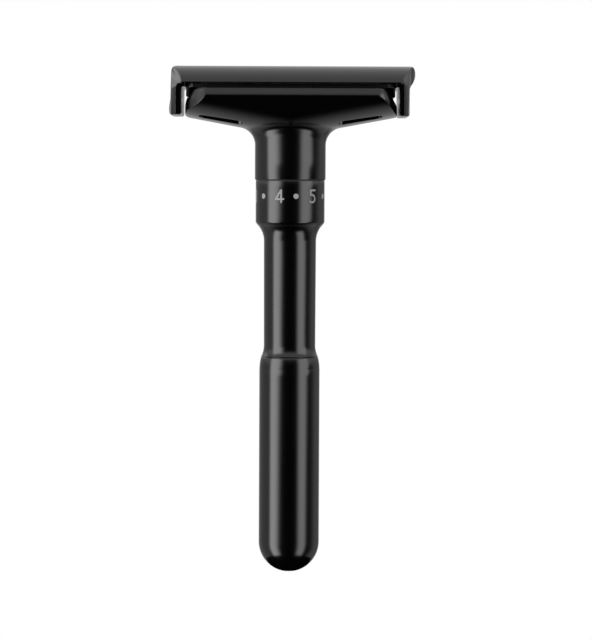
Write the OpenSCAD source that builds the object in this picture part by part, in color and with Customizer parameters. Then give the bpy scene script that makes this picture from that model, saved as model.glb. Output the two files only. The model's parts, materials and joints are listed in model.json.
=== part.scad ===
// Adjustable double-edge safety razor with a push-on cap, standing on its grip.
// Origin: centre of the small flat under the grip. +Z up the handle, X along the blade, -Y front.
// Turning the handle drives a screw that raises or lowers the blade tray against the fixed guard.

/* [Handle] */
// Radius of the grip
grip_r = 6.45; // [6.2:0.05:6.7]
// Height of the seam between grip and upper handle
grip_top = 46.0; // [45:0.5:47]
// Radius of the waist between grip and dial
waist_r = 5.5; // [5.4:0.05:5.6]
// Radius of the numbered dial
dial_r = 7.36; // [7.3:0.02:7.4]
// Height of the lower edge of the dial
dial_z0 = 74.7; // [74.4:0.1:75]
// Height of the upper edge of the dial
dial_z1 = 83.58; // [83.5:0.02:83.6]

/* [Head] */
// Radius of the neck
neck_r = 7.56; // [7.5:0.02:7.62]
// Height of the lower end of the neck
neck_z0 = 83.8; // [83.78:0.01:83.85]
// Height of the safety bars
bar_z = 102.96; // [102.9:0.02:103.1]
// Height of the lower edge of the safety bars
strip_z = 101.3; // [101.1:0.1:101.5]
// Half depth of the guard over the safety bars
guard_y = 12.3; // [12:0.1:12.5]
// Drain slot length
slot_len = 9.3; // [8.1:0.2:9.7]
// Drain slot width
slot_w = 2.1; // [1.8:0.1:2.3]

/* [Blade] */
// Length of the blade over its end tabs
blade_len = 43; // [42.6:0.1:43]
// Width of the blade, measured flat
blade_w = 22; // [21.8:0.1:22]
// Blade thickness
blade_t = 0.1; // [0.08:0.01:0.1]
// Radius the clamped blade is bent to
bend_r = 30; // [30:0.5:30]

/* [Cap] */
// Top of the cap
cap_top = 108; // [107.9:0.1:108.2]
// Radius of the arched top of the cap
arch_r = 17.2; // [17:0.1:17.4]
// Half depth of the cap
cap_y = 10.65; // [10.6:0.05:10.7]
// Half width of the side flaps
flap_y = 9.6; // [9.4:0.1:9.8]
// Half spacing of the two studs
stud_x = 11.3; // [11:0.1:11.6]

/* [Dial marks] */
// Height of the digits
digit_h = 2.95; // [2.6:0.05:3.1]
// Stroke width of the digits
stroke = 0.4; // [0.34:0.02:0.46]
// Height of the middle of the marks
mark_z = 80.3; // [80:0.1:80.6]
// Angle of the digit 4 from the front
mark_a = -19.4; // [-20.4:0.2:-18.8]

/* [Hidden] */
$fn = 64;

black = [0.07, 0.07, 0.075];
rubber = [0.1, 0.1, 0.1];

// places shared by several pieces
blade_crown_z = 106.0;
bend_z = blade_crown_z - bend_r;   // centre height of the bend of the clamped blade
guide_x = 8.8;
rivet_x = 16.5;
drain_x = 14.8;
drain_y = 6.4;
stop_pin_x = 4.75;
stop_pin_r = 0.59;
post_r = 2.4;

// ---------- helpers ----------
function mix(a, b, t) = a + (b - a) * t;
function arc(centre, radius, from, to, steps) = [for (i = [0 : steps])
    let (a = from + (to - from) * i / steps) centre + radius * [cos(a), sin(a)]];
// half an outline, followed by its mirror image; flip holds the signs of the mirrored half
function mirrored(half, flip = [1, -1]) = concat(half,
    [for (i = [len(half) - 1 : -1 : 0]) [half[i][0] * flip[0], half[i][1] * flip[1]]]);
// side faces of a loft whose points run ring by ring
function loft_sides(rings, sides) = [
    for (ring = [0 : rings - 2]) for (side = [0 : sides - 1])
    let (a = ring * sides + side, b = ring * sides + (side + 1) % sides)
    for (face = [[a, a + sides, b + sides], [a, b + sides, b]]) face];

module rod(z0, z1, radius) {
    translate([0, 0, z0]) cylinder(h = z1 - z0, r = radius);
}
module tube(z0, z1, outer, inner) {
    translate([0, 0, z0]) difference() {
        cylinder(h = z1 - z0, r = outer);
        translate([0, 0, -1]) cylinder(h = z1 - z0 + 2, r = inner);
    }
}
// tables of rods [z0, z1, radius] and tubes [z0, z1, outer, inner]
module rods(table) { for (row = table) rod(row[0], row[1], row[2]); }
module tubes(table) { for (row = table) tube(row[0], row[1], row[2], row[3]); }
module torus(z, ring_r, section_r) {
    rotate_extrude($fn = 96) translate([ring_r, z]) circle(r = section_r, $fn = 32);
}
module xrod(x0, x1, y, z, radius) {
    translate([x0, y, z]) rotate([0, 90, 0]) cylinder(h = x1 - x0, r = radius);
}
module slab(z, height) { translate([0, 0, z]) linear_extrude(height) children(); }
module pair(x) { for (side = [-1, 1]) translate([side * x, 0, 0]) children(); }
module four(x, y) {
    for (side = [-1, 1], end = [-1, 1]) translate([side * x, end * y, 0]) children();
}

// ---------- guard: outer skin, lofted on rays from the handle axis ----------
ramp_z = 92.9;           // underside at the axis
ramp_slope = 0.187;
bowl_share = 0.92;       // share of the bowl's quarter that is used
bowl_power = 2.6;        // squareness of the bowl
bar_y = guard_y - 0.4;   // the faces of the bars lean back
skin_r = neck_r - 0.012; // the lofted skin starts just inside the turned neck
skin_z0 = 90.8;
fillet_x = 3.77;         // fillet radius under the wings
fillet_y = 2.6;          // fillet radius at front and back
fillet_steps = 7;
under_steps = 10;
search_steps = 24;       // samples used to seat the fillet
corner_steps = 13;
end_drop = 1.9;          // drop of the wall top at the ends

// underside of the wings, upswept at the tips
function ramp(x) = ramp_z + ramp_slope * abs(x)
    + 0.9 * pow(max(0, (abs(x) - (x < 0 ? 21.6 : 22.1)) / 1.5), 2);
function quarter(s) = 1 - pow(1 - pow(s, bowl_power), 1 / bowl_power);
function bowl(s) = quarter(bowl_share * s) / quarter(bowl_share);
function under(point) = mix(ramp(point[0]), strip_z, bowl(min(1, abs(point[1]) / guard_y)));

// Plan outline of the rim as [lower x, lower y, upper x, upper y].
// Stations of the front left corner, from the left end to the bars:
left_stations = [[-22.35, 0, -22.05, 0], [-22.3, -5.5, -22, -5.5],
    [-21.75, -9.0, -20.95, -9.4], [-17.95, -guard_y, -17.95, -bar_y]];
function left_corner(t) =
    t < 0.3 ? mix(left_stations[0], left_stations[1], t / 0.3)
    : t < 0.55 ? mix(left_stations[1], left_stations[2], (t - 0.3) / 0.25)
    : let (u = (t - 0.55) / 0.45)
        mix(left_stations[2], left_stations[3], u) - 0.05 * sin(180 * u) * [1, 1, 1, 1];
// superellipse, from the right end at t = 0 to the bars at t = 1
function right_corner(t) =
    let (power = 0.85, along = pow(max(0, cos(90 * t)), power), out = pow(sin(90 * t), power))
    [18 + 4.7 * along, -guard_y * out, 18 + 3.9 * along, -bar_y * out];
bar_stations = [-16.5, -14, -11.5, -9, -6.5, -4, -1.5, 1.5, 4, 6.5, 9, 11.5, 14, 16.5];
front_rim = concat(
    [for (i = [0 : corner_steps]) left_corner(i / corner_steps)],
    [for (x = bar_stations) [x, -guard_y, x, -bar_y]],
    [for (i = [corner_steps : -1 : 0]) right_corner(i / corner_steps)]);
rim = concat(front_rim, [for (i = [len(front_rim) - 2 : -1 : 1])
    let (p = front_rim[i]) [p[0], -p[1], p[2], -p[3]]]);
// top of the wall: level along the bars, dropping round the corners to the ends
function wall_top(x) =
    let (u = min(1, max(0, x < 0 ? (-x - 19.3) / 1.9 : (x - 19.7) / 1.75)))
    bar_z - end_drop * (1 - sqrt(1 - u * u));

function lift(point, z) = [point[0], point[1], z];
// one ray of the loft: neck, fillet, underside, wall and the rim's inner lip
function ray(station) =
    let (
        lower = [station[0], station[1]],
        upper = [station[2], station[3]],
        reach = norm(lower),
        dir = lower / reach,
        fillet = mix(fillet_x, fillet_y, pow(abs(dir[1]), 1.2)),
        centre = skin_r + fillet,
        // lower the fillet circle until it touches the underside
        samples = [for (k = [0 : search_steps]) skin_r + 2 * fillet * k / search_steps],
        heights = [for (q = samples)
            under(q * dir) - sqrt(max(0, fillet * fillet - (q - centre) * (q - centre)))],
        centre_z = min(heights),
        touch = [for (k = [0 : search_steps])
            if (heights[k] <= centre_z + 1e-9) samples[k]][0],
        sweep = acos(max(-1, min(1, (centre - touch) / fillet))),
        frontness = pow(abs(lower[1]) / guard_y, 6),   // 1 at the bars, 0 at the ends
        top = wall_top(upper[0]),
        bottom = under(lower)
    )
    concat(
        [lift(skin_r * dir, skin_z0)],
        [for (k = [0 : fillet_steps]) let (a = sweep * k / fillet_steps)
            lift((centre - fillet * cos(a)) * dir, centre_z + fillet * sin(a))],
        [for (k = [1 : under_steps]) let (q = mix(touch, reach, k / under_steps))
            lift(q * dir, under(q * dir))],
        [lift(lower, bottom + mix(0.25, 0.01, frontness)),
         lift(lower, mix(bottom, top, mix(0.5, 0.03, frontness))),
         lift(mix(upper, lower, 0.3), mix(bottom, top, 0.8)),
         lift(upper * 0.994, top - 0.12),
         lift([upper[0] * 0.986, upper[1] * 0.982], top),
         lift([upper[0] * 0.9, upper[1] * 0.86], top + 0.01)]);

rays = [for (station = rim) ray(station)];
ray_count = len(rim);
ring_count = len(rays[0]);
module guard_skin() {
    bottom_hub = ring_count * ray_count;   // index of the point that closes the bottom
    last_ring = (ring_count - 1) * ray_count;
    polyhedron(
        points = concat(
            [for (k = [0 : ring_count - 1]) for (i = [0 : ray_count - 1]) rays[i][k]],
            [[0, 0, skin_z0], [0, 0, bar_z]]),
        faces = concat(
            loft_sides(ring_count, ray_count),
            [for (i = [0 : ray_count - 1]) [bottom_hub, i, (i + 1) % ray_count]],
            [for (i = [0 : ray_count - 1])
                [bottom_hub + 1, last_ring + (i + 1) % ray_count, last_ring + i]]),
        convexity = 6);
}

// ---------- guard: body and small parts ----------
// half section of the trough, [y, z], and front half of its plan, [x, y]
trough_section = [[-10.95, 104.5], [-10.95, 102.4], [-9.5, 100.9], [-7.4, 99.6], [-5.2, 99]];
trough_plan = [[-21, -7.4], [-17.0, -11], [17.3, -11], [21.3, -7.4]];
trough_x0 = -20;
trough_x1 = 20.3;
guard_bores = [                    // [z0, z1, radius]
    [neck_z0 - 1, 88.6, 5.6],      // socket for the spigot of the handle
    [88, 91, 3.9],                 // hole in the web
    [90.4, 93, 5.3],               // chamber of the retaining ring
    [92.6, 99.5, 6.6]];            // chamber of the return spring
index_z = 85.6;

// trough that the tray sinks into, with chamfered corners
module trough() {
    intersection() {
        translate([trough_x0, 0, 0]) rotate([90, 0, 90])
            linear_extrude(trough_x1 - trough_x0) polygon(mirrored(trough_section, [-1, 1]));
        slab(98, 8) polygon(mirrored(trough_plan));
    }
}
module drain_slot() {
    straight = slot_len - slot_w;
    slab(92, 12) {
        square([straight, slot_w], center = true);
        pair(straight / 2) circle(d = slot_w, $fn = 24);
    }
}
// short round plug at the back of the neck
module index_dot(depth, radius) {
    translate([0, neck_r - depth, index_z]) rotate([-90, 0, 0])
        cylinder(h = 1, r = radius, $fn = 32);
}
module guard() {
    color(black) difference() {
        union() {
            guard_skin();
            rotate_extrude($fn = 96) polygon([[0, neck_z0], [neck_r - 0.1, neck_z0],
                [neck_r, neck_z0 + 0.1], [neck_r, 91.1], [0, 91.1]]);
        }
        trough();
        rods(guard_bores);
        pair(guide_x) rod(96.2, 99.5, 0.82);
        four(drain_x, drain_y) drain_slot();
        translate([stop_pin_x, 0, 0]) rod(88, 90.5, stop_pin_r + 0.01);
        index_dot(depth = 0.25, radius = 0.62);
    }
}
module index_mark() {
    color([0.7, 0.7, 0.7]) intersection() {
        index_dot(depth = 0.22, radius = 0.6);
        tube(84, 87, neck_r + 0.01, neck_r - 0.6);
    }
}
module thrust_washer() {
    color([0.05, 0.05, 0.05]) tube(dial_z1 + 0.02, neck_z0 - 0.01, 7.33, 5.62);
}
module stop_pin() {
    color("silver") translate([stop_pin_x, 0, 0]) rod(87.15, 90.38, stop_pin_r);
}

// ---------- dial marks ----------
digit_pitch = 60;
dot_offset = 29.2;   // angle from a digit to the next dot
dot_r = 0.37;        // to the middle of a stroke drawn round the dot

// strokes of the digits, centred on the origin
module segment(from, to, width) {
    run = to - from;
    translate(from) rotate([0, 0, atan2(run[1], run[0])])
        translate([0, -width / 2]) square([norm(run), width]);
    for (end = [from, to]) translate(end) circle(d = width, $fn = 16);
}
module path(points, width) {
    for (i = [0 : len(points) - 2]) segment(points[i], points[i + 1], width);
}
module bow(centre, radius, from, to, width) {
    gap = 360 - (to - from);
    translate(centre) difference() {
        circle(r = radius + width / 2, $fn = 48);
        circle(r = radius - width / 2, $fn = 48);
        polygon(concat([[0, 0]], arc([0, 0], 3, to, to + gap, 6)));
    }
    for (a = [from, to])
        translate(centre + radius * [cos(a), sin(a)]) circle(d = width, $fn = 16);
}
module digit(number, width) {
    top = digit_h / 2 - stroke / 2;   // centre line of the topmost stroke
    if (number == 1) path([[-0.55, top - 0.55], [0.1, top], [0.1, -top]], width);
    if (number == 2) {
        bow([0, top - 0.68], 0.68, -38, 165, width);
        path([[0.536, top - 1.099], [-0.72, -top], [0.78, -top]], width);
    }
    if (number == 3) {
        bow([-0.05, top - 0.62], 0.62, -90, 150, width);
        bow([-0.05, -top + 0.655], 0.655, -150, 90, width);
    }
    if (number == 4) path([[0.4, -top], [0.4, top], [-0.82, -0.62], [0.88, -0.62]], width);
    if (number == 5) {
        path([[0.62, top], [-0.5, top], [-0.58, 0.28], [-0.2, 0.28]], width);
        bow([-0.2, -top + 0.7775], 0.7775, -130, 90, width);
    }
    if (number == 6) {
        loop_r = 0.74;
        difference() {
            union() {
                translate([0, -top + loop_r]) circle(r = loop_r + width / 2, $fn = 48);
                translate([-0.62, -0.3]) rotate([0, 0, 57])
                    translate([0, -width / 2]) square([1.87, width]);
                translate([0.4, top]) circle(d = width, $fn = 16);
            }
            translate([0, -top + loop_r]) circle(r = loop_r - width / 2, $fn = 48);
        }
    }
}
// a mark kept between two radii of the dial, at an angle from the digit 4
module on_dial(angle, inner, outer) {
    rotate([0, 0, mark_a + angle]) intersection() {
        translate([0, 0, mark_z]) rotate([90, 0, 0]) children();
        tube(mark_z - 3, mark_z + 3, outer, inner);
    }
}
module dial_marks(width, inner, outer) {
    for (i = [1 : 6])     // the 4 sits a little off the even spacing
        on_dial(digit_pitch * (i - 4) + (i == 4 ? 1.2 : 0), inner, outer)
            linear_extrude(9) digit(i, width);
    for (i = [1 : 5])
        on_dial(digit_pitch * (i - 4) + dot_offset, inner, outer)
            cylinder(h = 9, r = dot_r + width / 2, $fn = 32);
}

// ---------- handle ----------
seam_r = 6.0;
foot_r = 1.5;          // flat under the grip
flare_r = 5.25;        // hollow above the seam
shoulder_r = 5.07;     // hollow below the dial
shoulder_waist_r = waist_r + 0.07;
grip_taper_r = 10;     // rounding at the top of the grip
grip_bore_r = 4.25;
lug_a = 308.2;         // start of the stop lug at the first stop
stop_travel = 21.2;    // travel from rest to the first stop
sleeve_bores = [       // [z0, z1, radius]
    [40, 86.0, grip_bore_r], [80, 95, 2.6]];
sleeve_grooves = [     // [z0, z1, outer, inner]
    [84.9, 86.15, 6, 4.85],       // friction ring
    [91.15, 91.95, 5, 3.35],      // retaining ring
    [76.45, 77.4, 4.7, 2]];       // circlip of the nut

module dial_profile() {
    flare = arc([waist_r + flare_r, 48.4], flare_r, 207.5, 180, 8);
    shoulder = arc([shoulder_waist_r + shoulder_r, 70.7], shoulder_r, 180, 134.5, 10);
    polygon(concat(
        [[0, grip_top + 0.03], [seam_r, grip_top + 0.03], [seam_r + 0.07, grip_top + 0.11]],
        [for (i = [1 : len(flare) - 1]) flare[i]],
        shoulder,
        [[dial_r - 0.15, dial_z0 - 0.18], [dial_r - 0.03, dial_z0 + 0.02],
         [dial_r, dial_z0 + 0.25], [dial_r, dial_z1 - 0.08],
         [dial_r - 0.08, dial_z1], [0, dial_z1]]));
}
module dial_sleeve() {
    color(black) difference() {
        union() {
            rotate_extrude($fn = 96) dial_profile();
            rod(dial_z1 - 1, 87.0, 5.5);
            rod(dial_z1, 92.4, 3.85);
            // stop lug: a sector on the shoulder of the spigot
            rotate([0, 0, lug_a - stop_travel]) rotate_extrude(angle = 44, $fn = 96)
                translate([3, 86.5]) square([2.5, 1.9]);
        }
        rods(sleeve_bores);
        tubes(sleeve_grooves);
        dial_marks(stroke, dial_r - 0.16, dial_r + 1);
    }
}
module dial_numerals() {
    color([0.62, 0.62, 0.62]) dial_marks(stroke - 0.02, dial_r - 0.15, dial_r + 0.01);
}
module drive_nut() { color([0.75, 0.6, 0.3]) tube(77.42, 85.95, 4.2, post_r + 0.05); }
module nut_circlip() {
    color("silver") difference() {
        tube(76.5, 77.38, 4.66, 3.4);
        translate([0, -5, 0]) slab(76, 2) polygon([[-1, 3], [1, 3], [1.4, 0], [-1.4, 0]]);
    }
}
module retaining_ring() {
    color("silver") difference() {
        tube(91.2, 91.9, 5.1, 3.38);
        slab(91, 2) polygon([[0, 0], [6, -2.6], [6, 2.6]]);
    }
}
module spring_washer() {
    color("silver") rotate_extrude($fn = 96)
        polygon([[4.0, 90.78], [5.1, 90.42], [5.1, 90.72], [4.0, 91.12]]);
}
module friction_ring() { color(rubber) torus(z = 85.52, ring_r = 5.22, section_r = 0.35); }

module grip_profile() {
    start = asin(foot_r / grip_r);
    polygon(concat([[0, 0], [foot_r, 0]],
        [for (a = [start : (90 - start) / 14 : 90.01])
            [grip_r * sin(a), grip_r * (1 - cos(a)) - 0.176]],
        [[grip_r, 43.3]],
        [for (k = [1 : 6]) let (z = 2.6 * k / 6)
            [grip_r - grip_taper_r + sqrt(grip_taper_r * grip_taper_r - z * z) - 0.02,
             43.35 + z]],
        [[seam_r, grip_top], [0, grip_top]]));
}
module grip() {
    color(black) difference() {
        rotate_extrude($fn = 96) grip_profile();
        rod(34, 50, grip_bore_r);
        rod(8, 40, 4.0);
        rod(grip_top - 0.75, 50, 5.2);   // seat of the seal
    }
}
module grip_stud() {
    color("silver") difference() {
        rod(34.4, 57.5, 4.2);
        rod(30, 60, 1.6);
        rod(54.5, 60, 2.9, $fn = 6);     // hexagon socket
    }
}
module grip_seal() { color(rubber) torus(z = 45.64, ring_r = 4.74, section_r = 0.36); }

// ---------- blade tray and what it carries ----------
tray_x0 = -22.05;
tray_x1 = 22.1;
tray_y = 9.9;
tray_base_z = 101.3;      // foot of the end plates and the left block
// front halves of plan outlines, [x, y]
tray_plan = [[tray_x0, -6.4], [-19.85, -6.4], [-19.85, -8.2], [-17.9, -tray_y],
    [17.9, -tray_y], [19.9, -8.2], [19.9, -6.4], [tray_x1, -6.4]];
tray_upper_plan = [[tray_x0, -8.4], [-20.6, -tray_y], [20.6, -tray_y], [tray_x1, -8.4]];
end_plates = [[[tray_x0, -7.4], [-21.85, -9.1], [-21.35, -9.1]],
    [[tray_x1, -7.4], [21.95, -8.9], [21.7, -8.9]]];

// slab between two radii about the axis of the blade's bend
module arch_slab(outer, inner) {
    difference() {
        xrod(-23, 23, 0, bend_z, outer);
        xrod(-24, 24, 0, bend_z, inner);
    }
}
module tray_arch() { arch_slab(bend_r - blade_t - 0.03, bend_r - 2.1); }
module below_arch() { xrod(-23, 23, 0, bend_z, bend_r - 1); }
module blade_tray() {
    color([0.09, 0.09, 0.095]) difference() {
        union() {
            intersection() {
                tray_arch();
                slab(100, 8) polygon(mirrored(tray_plan));
                translate([-25, -15, 102.35]) cube([50, 30, 6]);
            }
            intersection() {     // wider upper part of the tray, above the guard's rim
                tray_arch();
                slab(103.12, 5) polygon(mirrored(tray_upper_plan));
            }
            intersection() {     // blocks that close the ends
                union() {
                    translate([tray_x0, -6.4, tray_base_z]) cube([2.4, 12.8, 4]);
                    translate([19.8, -5.5, 101.35]) cube([2.3, 11, 4]);
                }
                below_arch();
            }
            intersection() {     // end plates that stand over the ends of the guard
                slab(tray_base_z, 6) for (plate = end_plates) polygon(mirrored(plate));
                below_arch();
            }
            rods([[96.5, 104.2, 4.9], [99.6, 104.2, 6.5]]);   // stepped hub
        }
        rod(95, 102.0, post_r + 0.02);
        rod(100, 108, 1.25);     // clearance of the tray screw
        rod(104.4, 108, 2.1);    // seat of the screw's head
        pair(stud_x) rod(98, 108, 1.56);
        pair(guide_x) rod(98, 105, 0.8);
        pair(rivet_x) rod(98, 108, 0.7);
        four(drain_x, drain_y) slab(98, 10) square([6, 2], center = true);
    }
}
module drive_post() {
    color("silver") difference() {
        rod(74.6, 101.98, post_r);
        rod(95.5, 103, 1.17);
    }
}
module tray_screw() {
    color("silver") difference() {
        rods([[96.2, 104.6, 1.15], [104.42, 105.55, 2.0]]);      // shank, head
        translate([-3, -0.25, 105.05]) cube([6, 0.5, 2]);        // driver slot
    }
}
module guide_pins() { color("silver") pair(guide_x) rod(96.6, 104.9, 0.79); }
// at each end, two wires in the groove of the stud and a plate riveted under the tray
module catch_spring() {
    wire_x = [9.9, 15.6];
    color("silver") for (side = [-1, 1]) {
        ends = side * wire_x;
        for (y = [-1.5, 1.5]) xrod(min(ends), max(ends), y, 101.5, 0.3);
        translate([side * rivet_x, 0, 0]) difference() {
            translate([-1.3, -1.9, 101.2]) cube([2.6, 3.8, 0.6]);
            rod(100, 103, 0.72);
        }
    }
}
module catch_rivets() {
    color("silver") pair(rivet_x) {
        rods([[100.9, 105.75, 0.68], [100.6, 101.18, 1.2]]);     // shank, head
        tube(101.82, 103.8, 1.3, 0.72);                          // collar
    }
}

// helix of the return spring, evenly pitched
spring_r = 5.95;
wire_r = 0.3;
wire_sides = 8;
spring_turns = 5;
spring_steps = spring_turns * 16;
spring_z0 = 92.65 + wire_r;
spring_z1 = 99.55 - wire_r;
spring_points = [for (i = [0 : spring_steps]) for (j = [0 : wire_sides - 1])
    let (t = i / spring_steps, a = 360 * spring_turns * t, b = 360 / wire_sides * j,
        r = spring_r + wire_r * cos(b))
    [r * cos(a), r * sin(a), mix(spring_z0, spring_z1, t) + wire_r * sin(b)]];
module return_spring() {
    color("silver") polyhedron(
        points = spring_points,
        faces = concat(
            [[for (j = [0 : wire_sides - 1]) j]],
            loft_sides(spring_steps + 1, wire_sides),
            [[for (j = [wire_sides - 1 : -1 : 0]) spring_steps * wire_sides + j]]),
        convexity = 8);
}

// ---------- blade ----------
tab_len = 2.6;
module blade_plan() {
    edge_y = bend_r * sin(blade_w / 2 / bend_r * 180 / PI);   // half width once bent
    end_x = blade_len / 2;
    body_x = end_x - tab_len;
    difference() {
        polygon(mirrored([[-end_x, -6], [-body_x, -6.6], [-body_x, -edge_y],
            [body_x, -edge_y], [body_x, -6.6], [end_x, -6]]));
        square([34, 1.6], center = true);
        circle(r = 2.6, $fn = 32);
        pair(stud_x) circle(r = 1.66, $fn = 32);
        pair(17) square([1.4, 4.4], center = true);
    }
}
module blade() {
    color([0.75, 0.77, 0.8]) intersection() {
        arch_slab(bend_r, bend_r - blade_t);
        slab(100, 8) blade_plan();
    }
}

// ---------- cap ----------
recess_x0 = -22.25;
recess_x1 = 22.3;
// outline of the cap with its flaps, seen from the front, [x, z]
cap_front = [
    [-24.0, cap_top + 0.1], [-24.55, cap_top - 0.1], [-25.0, cap_top - 0.4],
    [-25.27, cap_top - 0.85], [-25.32, 106.6], [-25.3, 101.9], [-25.45, 100.8],
    [-25.8, 99.2], [-25.85, 98.5], [-25.7, 97.8], [-25.4, 97.45], [-25.1, 97.38],
    [-23.35, 97.38], [-23.05, 97.6], [-22.98, 97.9], [-22.98, 102.95], [-22.9, 103.15],
    [-22.7, 103.25], [recess_x0, 103.25], [recess_x0, 104.1],
    [recess_x1, 104.1], [recess_x1, 103.2], [22.65, 103.2], [22.83, 103.1],
    [22.9, 102.85], [22.92, 102], [22.95, 98], [23.0, 97.4], [23.2, 97.22], [24.9, 97.22],
    [25.13, 97.4], [25.2, 97.8], [25.2, 103.2], [25.45, 103.7], [25.95, 104.4],
    [26.4, 105.2], [26.54, 105.9], [26.5, 106.8], [26.3, 107.45], [25.9, 107.85],
    [25.5, cap_top + 0.1]];
// front half of the plan with bowed ends, [x, y]
cap_plan = [
    [-25.9, -2.5], [-25.4, -5], [-25.2, -8.2], [-24.2, -flap_y], [-22.93, -cap_y],
    [23.2, -cap_y], [23.95, -flap_y], [24.85, -8.2], [25.05, -6.2], [25.5, -4.4],
    [26.1, -2.8], [26.57, -1]];

// block beyond a slanted facet: a point on the facet and its outward direction
module facet(point, normal) {
    translate(point)
        rotate([0, acos(normal[2] / norm(normal)), atan2(normal[1], normal[0])])
        translate([-20, -20, 0]) cube([40, 40, 12]);
}
module cap() {
    color(black) difference() {
        intersection() {
            xrod(-27, 27, 0, cap_top - arch_r, arch_r);
            translate([0, 15, 0]) rotate([90, 0, 0]) linear_extrude(30) polygon(cap_front);
            slab(90, 20) polygon(mirrored(cap_plan));
            union() {
                difference() {   // roof, hollowed to the bend of the blade
                    translate([-27, -cap_y, 103.9]) cube([54, 2 * cap_y, 5]);
                    xrod(recess_x0, recess_x1, 0, bend_z, bend_r + 0.02);
                }
                for (x = [-27, 22.2])   // side flaps
                    translate([x, -flap_y, 96]) cube([4.8, 2 * flap_y, 10]);
            }
        }
        for (side = [-1, 1]) {   // slanted corners
            facet([-23.05, side * cap_y, 104.1], [-0.752, side * 0.465, 0.467]);
            facet([23.4, side * cap_y, 104.1], [0.865, side * 0.451, 0.218]);
        }
    }
}
module cap_studs() {
    color("silver") pair(stud_x) difference() {
        intersection() {
            rods([[100.9, 106.2, 1.5], [100.4, 101.0, 1.3], [99.9, 100.5, 1.0]]);
            xrod(-27, 27, 0, bend_z, bend_r + 0.01);
        }
        tube(101.05, 101.95, 3, 1.15);   // groove for the catch spring
    }
}

guard();
index_mark();
thrust_washer();
stop_pin();
dial_sleeve();
dial_numerals();
drive_nut();
nut_circlip();
retaining_ring();
spring_washer();
friction_ring();
grip();
grip_stud();
grip_seal();
blade_tray();
drive_post();
tray_screw();
guide_pins();
catch_spring();
catch_rivets();
return_spring();
blade();
cap();
cap_studs();
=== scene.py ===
# A safety razor standing on the end of its grip: the handle lies on the Z axis, with the
# head on top. The head is long along X (left is -X) and the blade's two edges face the
# front (-Y) and the back (+Y). Shapes are given in millimetres and scaled by MM.
import json
import math
from contextlib import contextmanager
import bpy
import bmesh
from mathutils import Vector, Matrix


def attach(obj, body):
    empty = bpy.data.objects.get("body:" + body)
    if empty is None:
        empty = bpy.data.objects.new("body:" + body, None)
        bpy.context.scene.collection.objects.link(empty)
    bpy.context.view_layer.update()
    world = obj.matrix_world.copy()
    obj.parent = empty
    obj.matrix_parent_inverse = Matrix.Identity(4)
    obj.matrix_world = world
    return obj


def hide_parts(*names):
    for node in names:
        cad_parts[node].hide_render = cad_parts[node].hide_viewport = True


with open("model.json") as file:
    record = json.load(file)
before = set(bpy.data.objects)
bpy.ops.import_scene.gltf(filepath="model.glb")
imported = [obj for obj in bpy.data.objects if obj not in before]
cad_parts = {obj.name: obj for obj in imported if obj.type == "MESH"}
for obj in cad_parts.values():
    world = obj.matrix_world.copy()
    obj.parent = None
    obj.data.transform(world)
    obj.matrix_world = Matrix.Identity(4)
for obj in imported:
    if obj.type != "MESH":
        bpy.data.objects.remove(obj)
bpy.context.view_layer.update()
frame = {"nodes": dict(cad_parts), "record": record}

MM = 0.001
scene = bpy.context.scene
nodes = frame["nodes"]
slot_of = {s["node"]: s["material_slot"] for s in frame["record"]["subparts"]}

# ------------------------------------------------------------------ main sizes
# guard
NECK_R = 7.56           # round neck under the head
NECK_Z0 = 83.8          # its lower end
BAR_Z = 102.96          # top of the guard
STRIP_Z = 101.3         # underside at the front and back edges
GUARD_Y = 12.3          # half depth at the lower edge
BAR_Y = 11.9            # half depth at the top
# handle
GRIP_R = 6.45
GRIP_TOP = 46.0
WAIST_R = 5.5           # narrowest part of the upper handle
DIAL_R = 7.36
DIAL_Z0 = 74.7
DIAL_Z1 = 83.58
# cap and blade
CAP_TOP = 108.0
ARCH_R = 17.2           # cap's top surface, curved about X
CAP_Y = 10.65           # half depth of the cap
FLAP_Y = 9.6            # half depth of the flaps at its ends
BEND_R = 30.0           # bend of the blade about X
BEND_Z = 76.0           # height of the bend's axis
BLADE_T = 0.1
STUD_X = 11.3           # round blade holes, either side of the middle


# ------------------------------------------------------------------ helpers
def mix(a, b, t):
    return a + (b - a) * t


def clamp(value, low=0.0, high=1.0):
    return max(low, min(high, value))


def bezier(a, b, c, t):
    """Quadratic curve from a to c, drawn towards b; takes numbers or vectors."""
    return a * (1 - t) ** 2 + b * 2 * t * (1 - t) + c * t * t


def interpolate(table, at):
    """Straight-line lookup: the first column is the key, the others are returned."""
    for (start, *low), (end, *high) in zip(table, table[1:]):
        if at <= end:
            t = clamp((at - start) / (end - start))
            return tuple(mix(a, b, t) for a, b in zip(low, high))
    return tuple(table[-1][1:])


def arc(centre, radius, start, end, steps):
    """Points on an arc, with angles in degrees."""
    angles = [math.radians(mix(start, end, i / steps)) for i in range(steps + 1)]
    return [(centre[0] + radius * math.cos(a), centre[1] + radius * math.sin(a)) for a in angles]


def circle(radius, segments, centre=(0, 0)):
    angles = [2 * math.pi * i / segments for i in range(segments)]
    return [(centre[0] + radius * math.cos(a), centre[1] + radius * math.sin(a)) for a in angles]


def round_corner(before, corner, after, radius, steps):
    """The polyline before-corner-after with its corner rounded."""
    corner_v = Vector(corner)
    to_before, to_after = Vector(before) - corner_v, Vector(after) - corner_v
    before_length, after_length = to_before.length, to_after.length
    to_before, to_after = to_before / before_length, to_after / after_length
    angle = math.acos(clamp(to_before.dot(to_after), -1, 1))
    cut = min(radius / math.tan(angle / 2), 0.49 * before_length, 0.49 * after_length)
    start, end = corner_v + to_before * cut, corner_v + to_after * cut
    curve = [bezier(start, corner_v, end, k / steps) for k in range(steps + 1)]
    return [before] + [(p.x, p.y) for p in curve] + [after]


def mirror_first(points):
    """Adds the mirror image in the first coordinate, walked backwards."""
    return points + [(-a, b) for a, b in reversed(points)]


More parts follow.
